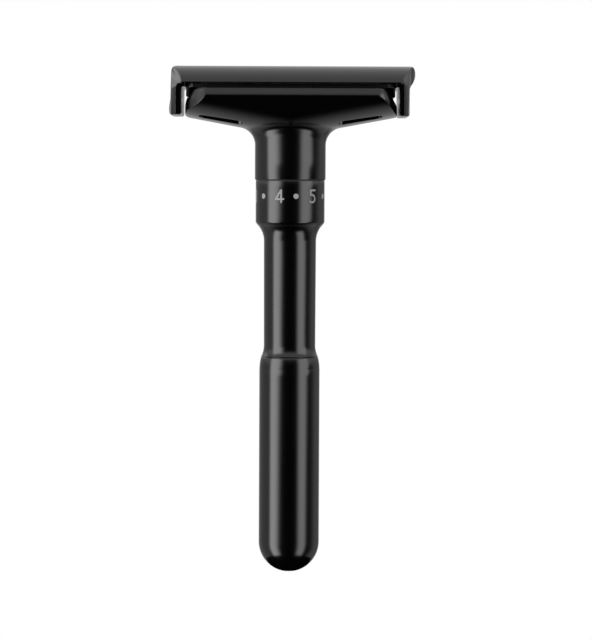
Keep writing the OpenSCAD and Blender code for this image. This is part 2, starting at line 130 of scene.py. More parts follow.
@contextmanager
def editing(obj):
    bm = bmesh.new()
    bm.from_mesh(obj.data)
    yield bm
    bm.to_mesh(obj.data)
    bm.free()


def new_object(name, data):
    obj = bpy.data.objects.new(name, data)
    scene.collection.objects.link(obj)
    return obj


def plain_mesh(name, verts, faces):
    mesh = bpy.data.meshes.new(name)
    mesh.from_pydata(verts, [], faces)
    return mesh


def mesh_object(name, verts_mm, faces):
    mesh = plain_mesh(name, [(x * MM, y * MM, z * MM) for x, y, z in verts_mm], faces)
    mesh.validate()
    mesh.update()
    obj = new_object(name, mesh)
    with editing(obj) as bm:
        bmesh.ops.recalc_face_normals(bm, faces=bm.faces)
    return obj


def revolve(name, profile, closed=True, segments=192):
    """Turns an (r, z) outline round the Z axis. A point with r = 0 becomes one vertex."""
    verts, rings = [], []
    for r, z in profile:
        points = [(0, 0)] if r < 1e-6 else circle(r, segments)
        rings.append(list(range(len(verts), len(verts) + len(points))))
        verts += [(x, y, z) for x, y in points]
    pairs = list(zip(rings, rings[1:]))
    if closed:
        pairs.append((rings[-1], rings[0]))
    faces = []
    for a, b in pairs:
        if len(a) == 1 and len(b) == 1:
            continue
        for i in range(segments):
            j = (i + 1) % segments
            if len(a) == 1:
                faces.append((a[0], b[j], b[i]))
            elif len(b) == 1:
                faces.append((a[i], a[j], b[0]))
            else:
                faces.append((a[i], a[j], b[j], b[i]))
    return mesh_object(name, verts, faces)


def prism(name, outline, axis, low, high):
    """A straight prism: outline in the plane across axis, between low and high along it."""
    verts, n = [], len(outline)
    for h in (low, high):
        for a, b in outline:
            verts.append({"x": (h, a, b), "y": (a, h, b), "z": (a, b, h)}[axis])
    faces = [tuple(range(n)), tuple(range(2 * n - 1, n - 1, -1))]
    for i in range(n):
        j = (i + 1) % n
        faces.append((i, n + i, n + j, j))
    return mesh_object(name, verts, faces)


def boolean(obj, other, operation):
    """Combines obj with other, which is used up."""
    modifier = obj.modifiers.new("boolean", "BOOLEAN")
    modifier.operation = operation
    modifier.object = other
    modifier.solver = "EXACT"
    modifier.use_hole_tolerant = True
    depsgraph = bpy.context.evaluated_depsgraph_get()
    depsgraph.update()
    mesh = bpy.data.meshes.new_from_object(obj.evaluated_get(depsgraph))
    obj.modifiers.clear()
    old_mesh = obj.data
    obj.data = mesh
    bpy.data.meshes.remove(old_mesh)
    bpy.data.objects.remove(other)


def combine(obj, operation, outline, axis, low, high):
    boolean(obj, prism("cutter", outline, axis, low, high), operation)


def drill(obj, radius, low, high, segments=96, at=(0, 0)):
    """Cuts an upright round hole."""
    combine(obj, "DIFFERENCE", circle(radius, segments, at), "z", low, high)


def tidy(obj, distance):
    """Merges points closer than distance and drops edges shorter than it."""
    with editing(obj) as bm:
        bmesh.ops.remove_doubles(bm, verts=bm.verts, dist=distance * MM)
        bmesh.ops.dissolve_degenerate(bm, edges=bm.edges, dist=distance * MM)
        bmesh.ops.recalc_face_normals(bm, faces=bm.faces)


def smooth(obj, sharp_angle=30):
    """Smooth shading, broken at edges of sharp_angle degrees or more."""
    for face in obj.data.polygons:
        face.use_smooth = True
    with editing(obj) as bm:
        for edge in bm.edges:
            if len(edge.link_faces) == 2:
                edge.smooth = edge.calc_face_angle(0) < math.radians(sharp_angle)


# ------------------------------------------------------------------ guard
# Front left corner, from the left end round to the front.
# t, then x and y of the lower edge, then x and y of the top rim
LEFT_CORNER = [
    (0, -22.35, 0, -22.05, 0),
    (0.3, -22.3, -5.5, -22.0, -5.5),
    (0.55, -21.75, -9.0, -20.95, -9.4),
    (1, -17.95, -GUARD_Y, -17.95, -BAR_Y),
]
CORNER_BULGE = 0.05             # outward swell of its last stretch
CORNER_STEPS = 44               # stations round each corner
FRONT_STEPS = 52                # stretches along the straight front
LEFT_X, RIGHT_X = -17.95, 18    # ends of the straight front
RIGHT_LOW, RIGHT_TOP = 4.7, 3.9  # reach of the right corner, lower edge and top rim
RIGHT_POWER = 0.85              # below 1 makes the right corner squarer than an ellipse
BOWL_REACH, BOWL_POWER = 0.92, 2.6      # shape of the underside across the depth
FILLET_END, FILLET_SIDE = 3.77, 2.6     # neck fillet radius along X and along Y
NECK_EDGE = [(0.12, 0), (0.035, 0.04), (0, 0.13)]   # inset, height above the neck's end
FILLET_STEPS, UNDER_STEPS, TOUCH_STEPS = 14, 26, 96

# Recess in the top: right-angled section (y, z) of the front half, and plan (x, y)
TROUGH = [
    (-11.25, 104.5), (-11.1, 103.35), (-10.98, 103.1), (-10.95, 102.8), (-10.95, 102.4),
    (-10.75, 102.05), (-9.5, 100.9), (-7.4, 99.6), (-6.4, 99.15), (-5.2, 99.0),
]
TROUGH_PLAN = [
    (-21, -7.4), (-17.0, -11), (17.3, -11), (21.3, -7.4),
    (21.3, 7.4), (17.3, 11), (-17.0, 11), (-21, 7.4),
]
# Stepped bore up the middle: radius, bottom, top
GUARD_BORE = [(5.6, NECK_Z0 - 1, 88.6), (3.9, 88, 91), (5.3, 90.4, 93), (6.6, 92.6, 99.5)]
# Small holes: radius, bottom, top, segments, x
GUARD_HOLES = [(0.82, 96.2, 99.5, 32, -8.8), (0.82, 96.2, 99.5, 32, 8.8), (0.6, 88, 90.5, 24, 4.75)]
SLOT_X, SLOT_Y = 14.8, 6.4      # centres of the four long slots
SLOT_R, SLOT_HALF = 1.05, 3.6   # end radius, half distance between end centres
DIMPLE_R, DIMPLE_Z = 0.62, 85.6  # shallow round recess in the back of the neck


def left_corner(t):
    swell = CORNER_BULGE * math.sin(math.pi * clamp((t - 0.55) / 0.45))
    return tuple(value - swell for value in interpolate(LEFT_CORNER, t))


def right_corner(t):
    """Front right corner, from the right end (t = 0) round to the front (t = 1)."""
    angle = math.radians(90 * t)
    c, s = math.cos(angle) ** RIGHT_POWER, math.sin(angle) ** RIGHT_POWER
    return (RIGHT_X + RIGHT_LOW * c, -GUARD_Y * s, RIGHT_X + RIGHT_TOP * c, -BAR_Y * s)


def guard_rim():
    """Stations round the guard: x and y of the lower edge, x and y of the top rim."""
    length = RIGHT_X - LEFT_X
    straight = [LEFT_X + length * (i + 1) / FRONT_STEPS for i in range(FRONT_STEPS - 1)]
    front = [left_corner(i / CORNER_STEPS) for i in range(CORNER_STEPS + 1)]
    front += [(x, -GUARD_Y, x, -BAR_Y) for x in straight]
    front += [right_corner(i / CORNER_STEPS) for i in range(CORNER_STEPS, -1, -1)]
    return front + [(p[0], -p[1], p[2], -p[3]) for p in front[-2:0:-1]]


def ridge(x):
    """Height of the underside on its middle line: a slope, turned up near the ends."""
    turn = 21.6 if x < 0 else 22.1
    return 92.9 + 0.187 * abs(x) + 0.9 * max(0, (abs(x) - turn) / 1.5) ** 2


def bowl_rise(s):
    return 1 - (1 - (BOWL_REACH * s) ** BOWL_POWER) ** (1 / BOWL_POWER)


def underside(x, y):
    s = min(1, abs(y) / GUARD_Y)
    return mix(ridge(x), STRIP_Z, bowl_rise(s) / bowl_rise(1))


def wall_top(x):
    """Height of the top rim, which rounds off towards the left and right ends."""
    u = (-x - 19.3) / 1.9 if x < 0 else (x - 19.7) / 1.75
    return BAR_Z - 1.9 * (1 - math.sqrt(1 - clamp(u) ** 2))


def guard_section(low_x, low_y, top_x, top_y):
    """Points from the neck's lower end, out under the guard and up its wall to the top."""
    reach = math.hypot(low_x, low_y)
    cx, cy = low_x / reach, low_y / reach

    def at(radius, z):
        return (radius * cx, radius * cy, z)

    def under_at(radius):
        return underside(radius * cx, radius * cy)

    section = [at(NECK_R - inset, NECK_Z0 + rise) for inset, rise in NECK_EDGE]
    section.append(at(NECK_R, 87.5))

    # fillet: a circle against the neck, at the height where it touches the underside
    fillet = mix(FILLET_END, FILLET_SIDE, abs(cy) ** 1.2)
    centre = NECK_R + fillet
    tries = [NECK_R + 2 * fillet * k / TOUCH_STEPS for k in range(TOUCH_STEPS + 1)]
    fillet_z, touch = min(
        (under_at(q) - math.sqrt(max(0, fillet * fillet - (q - centre) ** 2)), q) for q in tries)
    sweep = math.acos(clamp((centre - touch) / fillet, -1, 1))
    for k in range(FILLET_STEPS + 1):
        a = sweep * k / FILLET_STEPS
        section.append(at(centre - fillet * math.cos(a), fillet_z + fillet * math.sin(a)))

    # underside, with a small break at its outer edge
    for k in range(1, UNDER_STEPS + 1):
        radius = mix(touch, reach - 0.1, k / UNDER_STEPS)
        section.append(at(radius, under_at(radius)))
    section.append(at(reach - 0.03, under_at(reach - 0.03) + 0.015))

    # upright part of the wall: tall at the ends, almost nothing at front and back
    frontness = (abs(low_y) / GUARD_Y) ** 6
    upright = mix(0.5, 0.03, frontness)
    top, bottom = wall_top(top_x), underside(low_x, low_y)
    foot = bottom + mix(0.16, 0.02, frontness)
    knee = mix(bottom, top, upright)
    section.append((low_x, low_y, bottom + mix(0.06, 0.008, frontness)))
    section += [(low_x, low_y, z) for z in (foot, mix(foot, knee, 0.5), mix(foot, knee, 0.85))]

    # wall curving in to the top rim
    pull = (mix(top_x, low_x, 0.72), mix(top_y, low_y, 0.72),
            mix(bottom, top, mix(upright, 1, 0.45)))
    shoulder = (top_x * 0.997, top_y * 0.997, top - 0.2)
    for t in (0.15, 0.3, 0.45, 0.6, 0.8, 1.0):
        section.append(tuple(
            bezier(a, b, c, t) for a, b, c in zip((low_x, low_y, knee), pull, shoulder)))

    # rounded rim, then the flat top
    for degrees in (22, 45, 67, 90):
        s, c = math.sin(math.radians(degrees)), math.cos(math.radians(degrees))
        section.append((top_x * (0.986 + 0.011 * c), top_y * (0.982 + 0.015 * c),
                        top - 0.2 + 0.2 * s))
    section.append((top_x * 0.9, top_y * 0.86, top))
    return section


def guard_blank():
    sections = [guard_section(*station) for station in guard_rim()]
    n, m = len(sections), len(sections[0])
    verts = [section[k] for k in range(m) for section in sections]
    faces = []
    for k in range(m - 1):
        for i in range(n):
            j = (i + 1) % n
            faces.append((k * n + i, k * n + j, (k + 1) * n + j, (k + 1) * n + i))
    verts += [(0, 0, NECK_Z0), (0, 0, BAR_Z)]
    for i in range(n):
        j = (i + 1) % n
        faces.append((n * m, j, i))
        faces.append((n * m + 1, (m - 1) * n + i, (m - 1) * n + j))
    return mesh_object("guard_body", verts, faces)


def build_guard():
    guard = guard_blank()
    trough = prism("trough", mirror_first(TROUGH), "x", -20, 20.3)
    combine(trough, "INTERSECT", TROUGH_PLAN, "z", 98, 106)
    boolean(guard, trough, "DIFFERENCE")
    for radius, low, high in GUARD_BORE:
        drill(guard, radius, low, high)
    for radius, low, high, segments, x in GUARD_HOLES:
        drill(guard, radius, low, high, segments, (x, 0))
    for x in (-SLOT_X, SLOT_X):
        for y in (-SLOT_Y, SLOT_Y):
            slot = arc((x + SLOT_HALF, y), SLOT_R, -90, 90, 12)
            slot += arc((x - SLOT_HALF, y), SLOT_R, 90, 270, 12)
            combine(guard, "DIFFERENCE", slot, "z", 92, 100.9)
    dimple = circle(DIMPLE_R, 32, (0, DIMPLE_Z))
    combine(guard, "DIFFERENCE", dimple, "y", NECK_R - 0.25, NECK_R + 0.5)
    tidy(guard, 0.003)
    smooth(guard)
    return guard


# ------------------------------------------------------------------ upper handle and dial
FLARE_R, FLARE_Z = 5.25, 48.4       # concave foot of the waist
COVE_R, COVE_Z = 5.07, 70.7         # concave sweep up to the dial
WAIST_GROWTH = 0.07                 # widening of the waist between them
WAIST_STEPS = 8
LUG_OUTER, LUG_INNER = 5.45, 3.6    # curved lug at the front right of the spigot
LUG_START, LUG_END = 287, 331       # degrees from +X towards +Y

# Lower outer edge: r, height above GRIP_TOP
SLEEVE_FOOT = [(5.9, 0.03), (6.0, 0.045), (6.05, 0.1), (6.07, 0.18)]
# Spigot above the dial, then down the bore: r, z
SPIGOT = [
    (5.5, DIAL_Z1), (5.5, 84.9), (4.85, 84.9), (4.85, 86.15), (5.5, 86.15), (5.5, 86.9),
    (5.4, 87.0), (3.85, 87.0), (3.85, 91.15), (3.35, 91.15), (3.35, 91.95), (3.85, 91.95),
    (3.85, 92.25), (3.7, 92.4), (2.75, 92.4), (2.6, 92.25), (2.6, 86.0), (4.25, 86.0),
    (4.25, 77.4), (4.7, 77.4), (4.7, 76.45), (4.25, 76.45), (4.25, GRIP_TOP + 0.25),
    (4.45, GRIP_TOP + 0.03),
]


def build_sleeve():
    outer = [(r, GRIP_TOP + rise) for r, rise in SLEEVE_FOOT]
    outer += arc((WAIST_R + FLARE_R, FLARE_Z), FLARE_R, 207.5, 180, 14)[1:]
    outer += [(WAIST_R + WAIST_GROWTH * k / WAIST_STEPS, mix(FLARE_Z, COVE_Z, k / WAIST_STEPS))
              for k in range(1, WAIST_STEPS)]
    outer += arc((WAIST_R + WAIST_GROWTH + COVE_R, COVE_Z), COVE_R, 180, 134.5, 18)
    outer += round_corner(outer[-1], (DIAL_R, DIAL_Z0 + 0.05), (DIAL_R, DIAL_Z0 + 1.2),
                          radius=0.55, steps=8)[1:]
    outer += [(DIAL_R, z) for z in (77.0, 78.5, 80.5, 82.2, DIAL_Z1 - 0.06)]
    outer += [(DIAL_R - 0.018, DIAL_Z1 - 0.018), (DIAL_R - 0.06, DIAL_Z1), (DIAL_R - 0.5, DIAL_Z1)]
    sleeve = revolve("upper_handle", outer + SPIGOT)
    lug = arc((0, 0), LUG_OUTER, LUG_START, LUG_END, 22)
    lug += arc((0, 0), LUG_INNER, LUG_END, LUG_START, 22)
    combine(sleeve, "UNION", lug, "z", 86.6, 88.4)
    tidy(sleeve, 0.001)
    smooth(sleeve)
    return sleeve


# ------------------------------------------------------------------ grip
TIP_R = 1.5             # flat in the middle of the domed end
DOME_DROP = 0.176       # lowers the dome to meet the flat
DOME_STEPS = 24
TAPER_R = 10            # convex curve under the grip's top edge
TAPER_Z, TAPER_HEIGHT, TAPER_INSET, TAPER_STEPS = 43.35, 2.55, 0.02, 12
# Top face and the stepped blind bore: r, z
GRIP_BORE = [
    (5.25, 46.0), (5.2, 45.95), (5.2, 45.25), (4.25, 45.25), (4.25, 34.0),
    (4.0, 34.0), (4.0, 8.0), (0, 8.0),
]


def build_grip():
    profile = [(0, 0), (1.0, 0), (1.42, 0.004)]
    for k in range(DOME_STEPS + 1):
        a = mix(math.asin(TIP_R / GRIP_R), math.pi / 2, k / DOME_STEPS)
        profile.append((GRIP_R * math.sin(a), GRIP_R * (1 - math.cos(a)) - DOME_DROP))
    profile += [(GRIP_R, z) for z in (9, 14, 20, 26, 32, 38, 42, 43.28)]
    profile.append((GRIP_R - 0.012, 43.33))
    for k in range(1, TAPER_STEPS + 1):
        rise = TAPER_HEIGHT * k / TAPER_STEPS
        r = GRIP_R - TAPER_R + math.sqrt(TAPER_R ** 2 - rise * rise) - TAPER_INSET
        profile.append((r, TAPER_Z + rise))
    profile += [(r - 0.03, 45.95), (r - 0.09, 45.985), (r - 0.2, GRIP_TOP)]
    grip = revolve("lower_handle", profile + GRIP_BORE, closed=False)
    smooth(grip)
    return grip


# ------------------------------------------------------------------ cap
# Outer faces of the two ends, as seen from the front: z, x
LEFT_END = [
    (97.38, -25.1), (97.45, -25.4), (97.8, -25.7), (98.5, -25.84), (99.2, -25.8),
    (100.2, -25.6), (101.3, -25.36), (102.3, -25.3), (105, -25.3), (106.4, -25.32),
    (106.8, -25.3), (107.15, -25.24), (107.4, -25.12), (107.6, -24.97), (107.8, -24.72),
    (107.92, -24.45), (108.0, -24.15), (108.1, -23.9),
]
RIGHT_END = [
    (97.22, 24.9), (97.4, 25.13), (97.8, 25.2), (102.4, 25.2), (103.1, 25.24), (103.7, 25.5),
    (104.3, 25.93), (104.9, 26.24), (105.5, 26.44), (106.0, 26.54), (106.5, 26.53),
    (106.9, 26.47), (107.3, 26.33), (107.6, 26.14), (107.85, 25.88), (107.97, 25.66),
    (108.1, 25.4),
]
LEFT_BOTTOM, RIGHT_BOTTOM = LEFT_END[0][0], RIGHT_END[0][0]
# Inner faces of the flaps and the underside between them, right to left: x, z
CAP_INNER = [
    (23.32, 97.22), (23.17, 97.26), (23.06, 97.36), (23.0, 97.52), (22.96, 98.2),
    (22.92, 102), (22.91, 102.7), (22.88, 102.95), (22.79, 103.12), (22.65, 103.2),
    (22.34, 103.2), (22.3, 103.24), (22.3, 104.0), (22.2, 104.1),
    (-22.15, 104.1), (-22.25, 104.0), (-22.25, 103.29), (-22.29, 103.25), (-22.65, 103.25),
    (-22.8, 103.21), (-22.9, 103.12), (-22.96, 102.97), (-22.98, 102.7), (-22.98, 98.0),
    (-23.0, 97.75), (-23.07, 97.56), (-23.2, 97.43), (-23.4, 97.38),
]
# Front halves of the two ends, seen from above: x, y
LEFT_PLAN = [
    (-22.93, -CAP_Y), (-24.2, -FLAP_Y), (-24.93, -8.95), (-25.2, -8.4), (-25.32, -7.5),
    (-25.38, -6.2), (-25.48, -4.7), (-25.7, -3.3), (-25.9, -2.0),
]
RIGHT_PLAN = [
    (23.2, -CAP_Y), (23.95, -FLAP_Y), (24.5, -8.95), (24.82, -8.2), (24.97, -7.2),
    (25.07, -6.2), (25.27, -5.2), (25.55, -4.2), (25.88, -3.3), (26.2, -2.4),
    (26.45, -1.6), (26.57, -0.8),
]
# Rounded lower corner of a flap: distance in from its front face, height above its bottom
FLAP_CORNER = [(0, 0.55), (0.04, 0.32), (0.15, 0.14), (0.32, 0.03), (0.5, -0.05)]
CAP_END_X = 27          # beyond both ends, to be trimmed
ARCH_STEPS, INNER_STEPS = 64, 48


def cap_front():
    """Outline (x, z) of the cap seen from the front."""
    upper = [97.6] + [97.8 + 0.25 * k for k in range(37)] + [107.0 + 0.1 * k for k in range(12)]
    left = [(*interpolate(LEFT_END, z), z) for z in [LEFT_BOTTOM, 97.45] + upper]
    right = [(*interpolate(RIGHT_END, z), z) for z in [RIGHT_BOTTOM, 97.3, 97.4] + upper]
    return left + right[::-1] + CAP_INNER


def cap_plan():
    """Outline (x, y) of the cap seen from above."""
    left = LEFT_PLAN + [(x, -y) for x, y in reversed(LEFT_PLAN)]
    return left + [(x, -y) for x, y in RIGHT_PLAN] + RIGHT_PLAN[::-1]


def arch(y, radius, centre_z):
    return (y, centre_z + math.sqrt(radius * radius - y * y))


def cap_top():
    """Arched top (y, z), front to back, down to the lower edges at both sides."""
    centre_z = CAP_TOP - ARCH_R
    edge_z = arch(CAP_Y - 0.12, ARCH_R, centre_z)[1]
    edge = [(-CAP_Y, 104.08), (-CAP_Y, edge_z - 0.14), (-CAP_Y + 0.035, edge_z - 0.05)]
    depths = [-CAP_Y + 0.16 + (2 * CAP_Y - 0.32) * k / ARCH_STEPS for k in range(ARCH_STEPS + 1)]
    curve = [arch(y, ARCH_R, centre_z) for y in depths]
    return edge + curve + [(-y, z) for y, z in reversed(edge)]


def cut_facet(obj, point, normal):
    """Cuts away what lies beyond a slanted plane through point with outward normal."""
    turn = Vector(normal).normalized().to_track_quat("Z", "Y")
    verts = []
    for z in (0, 12):
        for x, y in ((-20, -20), (20, -20), (20, 20), (-20, 20)):
            verts.append(tuple(turn @ Vector((x, y, z)) + Vector(point)))
    faces = [(0, 3, 2, 1), (4, 5, 6, 7), (0, 1, 5, 4), (1, 2, 6, 5), (2, 3, 7, 6), (3, 0, 4, 7)]
    boolean(obj, mesh_object("cutter", verts, faces), "DIFFERENCE")


def build_cap():
    top = cap_top()
    depths = [10.5 - 21.0 * k / INNER_STEPS for k in range(INNER_STEPS + 1)]
    hollow = [arch(y, BEND_R + 0.02, BEND_Z) for y in depths]
    cap = prism("cap_body", top + hollow, "x", -22.24, 22.29)
    # solid ends
    base = mirror_first([(CAP_Y - 0.02, 104.02), (CAP_Y - 0.07, 103.96), (CAP_Y - 0.14, 103.94)])
    for low, high in ((-CAP_END_X, -22.23), (22.28, CAP_END_X)):
        combine(cap, "UNION", top + base, "x", low, high)
    # flaps hanging from the ends
    for low, high, bottom in ((-CAP_END_X, -22.2, LEFT_BOTTOM), (22.25, CAP_END_X, RIGHT_BOTTOM)):
        corner = [(-FLAP_Y + inset, bottom + rise) for inset, rise in FLAP_CORNER]
        flap = mirror_first(corner) + [(FLAP_Y, 104.4), (-FLAP_Y, 104.4)]
        combine(cap, "UNION", flap, "x", low, high)
    combine(cap, "INTERSECT", cap_front(), "y", -14, 14)
    combine(cap, "INTERSECT", cap_plan(), "z", 90, 112)
    for side in (-1, 1):
        cut_facet(cap, (-23.05, side * CAP_Y, 104.1), (-0.752, side * 0.465, 0.467))
        cut_facet(cap, (23.4, side * CAP_Y, 104.1), (0.865, side * 0.451, 0.218))
    tidy(cap, 0.004)
    smooth(cap)
    return cap


# ------------------------------------------------------------------ blade
BLADE_X = 21.5                                          # half length
BLADE_Y = BEND_R * math.sin(11.0 / BEND_R) - 0.003      # half depth once bent
GRIND = 0.42            # width of each ground edge
EDGE_SHARE = 0.12       # thickness left at the very edge, as a share of BLADE_T
GRIND_STEPS, BEND_STEPS = 4, 72
CUT_Z = (100, 108)      # height range of all cuts
# Front half of the plan with its notched corners: x, y
BLADE_PLAN = [
    (-BLADE_X, -6.0), (-18.9, -6.6), (-18.9, -12), (18.9, -12), (18.9, -6.6), (BLADE_X, -6.0),
]
# Long slot and its wider ends: x from, x to, half width
BLADE_SLOTS = [(-17, 17, 0.8), (-17.7, -16.3, 2.2), (16.3, 17.7, 2.2)]
# Round holes: radius, segments, x
BLADE_HOLES = [(2.6, 64, 0), (1.66, 48, -STUD_X), (1.66, 48, STUD_X)]


def build_blade():
    flat = BLADE_Y - GRIND
    depths = [-BLADE_Y + GRIND * k / GRIND_STEPS for k in range(GRIND_STEPS)]
    depths += [mix(-BLADE_Y + GRIND, flat, k / BEND_STEPS) for k in range(BEND_STEPS + 1)]
    depths += [flat + GRIND * k / GRIND_STEPS for k in range(1, GRIND_STEPS + 1)]
    middle = BEND_R - BLADE_T / 2
    upper, lower = [], []
    for y in depths:
        thickness = BLADE_T * clamp((BLADE_Y - abs(y)) / GRIND, EDGE_SHARE, 1.0)
        upper.append(arch(y, middle + thickness / 2, BEND_Z))
        lower.append(arch(y, middle - thickness / 2, BEND_Z))
    blade = prism("blade_strip", upper + lower[::-1], "x", -BLADE_X, BLADE_X)
    plan = BLADE_PLAN + [(-x, -y) for x, y in BLADE_PLAN]
    combine(blade, "INTERSECT", plan, "z", *CUT_Z)
    for x0, x1, half in BLADE_SLOTS:
        slot = [(x0, -half), (x1, -half), (x1, half), (x0, half)]
        combine(blade, "DIFFERENCE", slot, "z", *CUT_Z)
    for radius, segments, x in BLADE_HOLES:
        drill(blade, radius, *CUT_Z, segments, (x, 0))
    smooth(blade)
    return blade


# ------------------------------------------------------------------ materials
def add_node(tree, kind, values=None, **settings):
    """Adds a shader node. values fills its inputs, each with a value or a socket to link."""
    node = tree.nodes.new("ShaderNode" + kind)
    for key, value in settings.items():
        setattr(node, key, value)
    for socket, value in (values or {}).items():
        if isinstance(value, bpy.types.NodeSocket):
            tree.links.new(value, node.inputs[socket])
        else:
            node.inputs[socket].default_value = value
    return node


def empty_tree(owner):
    owner.use_nodes = True
    owner.node_tree.nodes.clear()
    return owner.node_tree


def material(name, base, rough, rough_var, grain, bump, metallic=0.0, spec=0.5, base_var=0.15,
             lathe=0.0, brushed=(1, 1, 1), bevel=0.0):
    """Mottled, finely grained surface.

    grain is the scale of the fine noise and brushed stretches it; base_var and rough_var
    are the spread of colour and roughness; lathe is the scale of turning lines across Z;
    bevel is the radius in mm of edges rounded in shading.
    """
    result = bpy.data.materials.new(name)
    tree = empty_tree(result)
    output = add_node(tree, "OutputMaterial")
    shader = add_node(tree, "BsdfPrincipled", {
        "Metallic": metallic, "Specular IOR Level": spec, "Coat Roughness": 0.2})
    tree.links.new(shader.outputs[0], output.inputs[0])
    place = add_node(tree, "TexCoord").outputs["Object"]
    stretched = add_node(tree, "Mapping", {"Vector": place, "Scale": brushed})
    fine = add_node(tree, "TexNoise", {
        "Scale": grain, "Detail": 4, "Roughness": 0.6,
        "Vector": stretched.outputs[0]}).outputs["Fac"]
    slow = add_node(tree, "TexNoise", {
        "Scale": 60, "Detail": 3, "Vector": place}).outputs["Fac"]
    colour = add_node(tree, "Mix", {
        "A": (*[c * (1 - base_var) for c in base], 1),
        "B": (*[c * (1 + base_var) for c in base], 1),
        "Factor": slow}, data_type="RGBA")
    tree.links.new(colour.outputs["Result"], shader.inputs["Base Color"])
    # roughness: slow handling marks plus fine grain
    marks = add_node(tree, "MapRange", {
        "To Min": rough - rough_var, "To Max": rough + rough_var, "Value": slow})
    roughness = add_node(tree, "Math", {
        0: fine, 1: rough_var * 0.8, 2: marks.outputs[0]}, operation="MULTIPLY_ADD")
    tree.links.new(roughness.outputs[0], shader.inputs["Roughness"])
    height = fine
    if lathe:
        lines = add_node(tree, "TexWave", {
            "Scale": lathe, "Distortion": 0.6, "Detail": 2, "Vector": place},
            bands_direction="Z")
        height = add_node(tree, "Math", {
            0: lines.outputs["Fac"], 1: 0.6, 2: fine}, operation="MULTIPLY_ADD").outputs[0]
    relief = add_node(tree, "Bump", {"Strength": bump, "Distance": 0.0002, "Height": height})
    if bevel:
        rounding = add_node(tree, "Bevel", {"Radius": bevel * MM}, samples=6)
        tree.links.new(rounding.outputs[0], relief.inputs["Normal"])
    tree.links.new(relief.outputs[0], shader.inputs["Normal"])
    return result


LOOKS = {
    "black_coat": dict(base=(0.0003, 0.0003, 0.0003), rough=0.19, rough_var=0.015,
                       grain=2600, bump=0.012, bevel=0.08),
    "tray_coat": dict(base=(0.0012, 0.0012, 0.0012), rough=0.3, rough_var=0.03, spec=0.4,
                      grain=2200, bump=0.02, bevel=0.08),
    "mark_paint": dict(base=(0.24, 0.24, 0.237), rough=0.6, rough_var=0.05, spec=0.3,
                       grain=3000, bump=0.1, base_var=0.06),
    "steel": dict(base=(0.52, 0.53, 0.54), rough=0.28, rough_var=0.06, metallic=1.0,
                  grain=1500, bump=0.06, base_var=0.08, lathe=1400, bevel=0.05),
    "spring_steel": dict(base=(0.38, 0.38, 0.4), rough=0.32, rough_var=0.06, metallic=1.0,
                         grain=1800, bump=0.05, base_var=0.1),
    "blade_steel": dict(base=(0.66, 0.68, 0.70), rough=0.2, rough_var=0.05, metallic=1.0,
                        grain=900, bump=0.05, base_var=0.05, brushed=(0.15, 6, 1)),
    "brass": dict(base=(0.72, 0.50, 0.20), rough=0.3, rough_var=0.06, metallic=1.0,
                  grain=1500, bump=0.05, base_var=0.1, lathe=1200, bevel=0.05),
    "rubber": dict(base=(0.012, 0.012, 0.012), rough=0.62, rough_var=0.08, spec=0.4,
                   grain=2000, bump=0.12),
    "polymer": dict(base=(0.015, 0.015, 0.015), rough=0.5, rough_var=0.06, spec=0.4,
                    grain=1600, bump=0.06),
}
materials = {name: material(name, **look) for name, look in LOOKS.items()}

# ------------------------------------------------------------------ CAD pieces
for name, obj in nodes.items():
    if not obj.material_slots:
        obj.data.materials.append(materials[slot_of[name]])
    for slot in obj.material_slots:
        slot.material = materials[slot_of[name]]
    for face in obj.data.polygons:
        face.use_smooth = True

# Pieces that stay: weld the split edges and round them by this width in mm
EDGE_WIDTHS = {
    "blade_tray": 0.12, "drive_post": 0.15, "tray_screw": 0.1, "guide_pins": 0.12,
    "catch_rivets": 0.08, "cap_studs": 0.06, "drive_nut": 0.2, "retaining_ring": 0.08,
    "nut_circlip": 0.08, "grip_stud": 0.25, "stop_pin": 0.1, "thrust_washer": 0.03,
    "catch_spring": 0.05, "spring_washer": 0.04,
}
for name, width in EDGE_WIDTHS.items():
    weld = nodes[name].modifiers.new("weld", "WELD")
    weld.merge_threshold = 0.002 * MM
    bevel = nodes[name].modifiers.new("bevel", "BEVEL")
    bevel.width = width * MM
    bevel.segments = 2
    bevel.limit_method = "ANGLE"
    bevel.angle_limit = math.radians(35)

# ------------------------------------------------------------------ detailed pieces
# builder, CAD node it replaces, body it moves with
for build, node, body in (
    (build_guard, "guard", "head"),
    (build_sleeve, "dial_sleeve", "handle"),
    (build_grip, "grip", "handle"),
    (build_cap, "cap", "cap"),
    (build_blade, "blade", "blade"),
):
    piece = build()
    piece.data.materials.clear()
    piece.data.materials.append(materials[slot_of[node]])
    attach(piece, body)
    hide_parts(node)

# ------------------------------------------------------------------ world: a studio seen in reflections
world = bpy.data.worlds.new("studio")
scene.world = world
sky = empty_tree(world)


def math_node(operation, *values):
    return add_node(sky, "Math", dict(enumerate(values)), operation=operation).outputs[0]


def add(a, b):
    return math_node("ADD", a, b)


def multiply(a, b):
    return math_node("MULTIPLY", a, b)


def invert(value):
    return math_node("SUBTRACT", 1, value)


def in_degrees(angle):
    return multiply(angle, 180 / math.pi)


def rise(value, start, end):
    """Eases from 0 at start to 1 at end."""
    return add_node(sky, "MapRange", {"From Min": start, "From Max": end, "Value": value},
                    interpolation_type="SMOOTHSTEP").outputs[0]


def ramp(value, start, end, low, high):
    """Straight from low at start to high at end, level beyond them."""
    return add_node(sky, "MapRange", {
        "From Min": start, "From Max": end, "To Min": low, "To Max": high,
        "Value": value}).outputs[0]


def blend(factor, a, b):
    """a where factor is 0, b where it is 1."""
    return add(multiply(invert(factor), a), multiply(factor, b))


def window(value, start, end, soft_start, soft_end, end_value=None):
    """1 between start and end, with soft edges. end_value, if given, is tested at the end."""
    end_value = value if end_value is None else end_value
    return multiply(rise(value, start - soft_start, start + soft_start),
                    invert(rise(end_value, end - soft_end, end + soft_end)))


